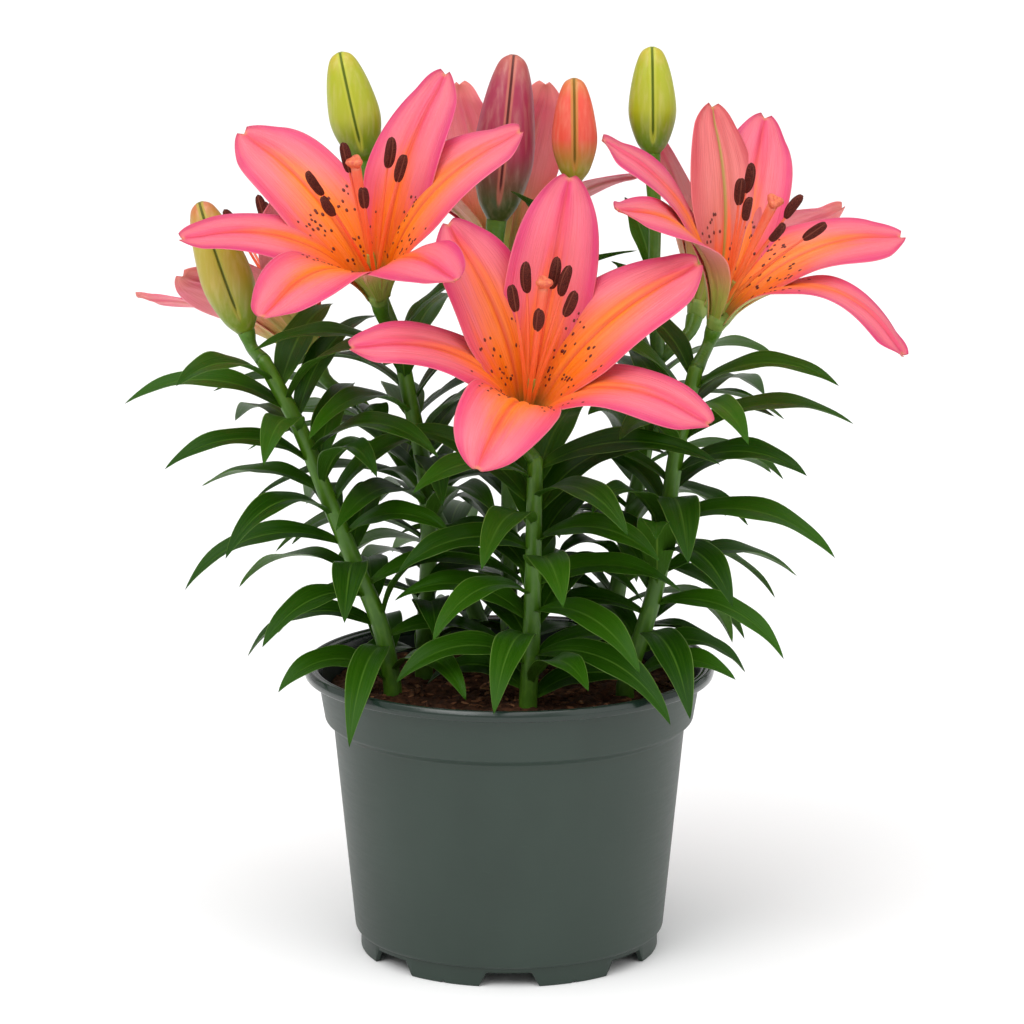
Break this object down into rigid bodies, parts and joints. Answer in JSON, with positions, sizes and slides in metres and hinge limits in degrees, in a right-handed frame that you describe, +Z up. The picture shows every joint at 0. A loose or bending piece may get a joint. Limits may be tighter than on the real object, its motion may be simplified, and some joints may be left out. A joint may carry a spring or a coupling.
{
  "type": "potted asiatic lily",
  "caption": "Flowering potted lily: leafy upright stems with open coral-orange blooms and closed buds, growing from bulbs in the soil of a plain tapered nursery pot.",
  "frame": {"origin": "on the pot's axis at the standing plane", "axes": "+Z up along the pot's axis, the side seen in the picture faces -Y, +X to the right in the picture"},
  "size_m": [0.2849, 0.2114, 0.3337],
  "materials": {
    "pot_plastic": "satin dark grey-green moulded plastic",
    "peat_soil": null,
    "bulb_scales": null,
    "leaf_and_stem": null,
    "coral_tepal": null,
    "stamen_and_style": null,
    "green_bud": null,
    "dusky_bud": null,
    "coral_bud": null,
    "tan_bud": null
  },
  "bodies": {
    "root": {"pot": "pot_plastic", "soil": "peat_soil", "bulb_1": "bulb_scales", "bulb_2": "bulb_scales", "bulb_3": "bulb_scales", "bulb_4": "bulb_scales", "bulb_5": "bulb_scales", "bulb_6": "bulb_scales", "bulb_7": "bulb_scales", "leafy_stem_front": "leaf_and_stem", "leafy_stem_left": "leaf_and_stem", "leafy_stem_middle_left": "leaf_and_stem", "leafy_stem_right": "leaf_and_stem", "leafy_stem_back_right": "leaf_and_stem", "leafy_stem_back": "leaf_and_stem", "leafy_stem_back_left": "leaf_and_stem", "bloom_left_tepals": "coral_tepal", "bloom_left_stamens": "stamen_and_style", "bloom_front_tepals": "coral_tepal", "bloom_front_stamens": "stamen_and_style", "bloom_right_tepals": "coral_tepal", "bloom_right_stamens": "stamen_and_style", "bloom_back_left_tepals": "coral_tepal", "bloom_back_left_stamens": "stamen_and_style", "bloom_back_tepals": "coral_tepal", "bloom_back_stamens": "stamen_and_style", "bloom_back_right_tepals": "coral_tepal", "bloom_back_right_stamens": "stamen_and_style", "bud_green_left": "green_bud", "bud_dusky": "dusky_bud", "bud_coral": "coral_bud", "bud_green_right": "green_bud", "bud_tan": "tan_bud"}
  },
  "joints": []
}
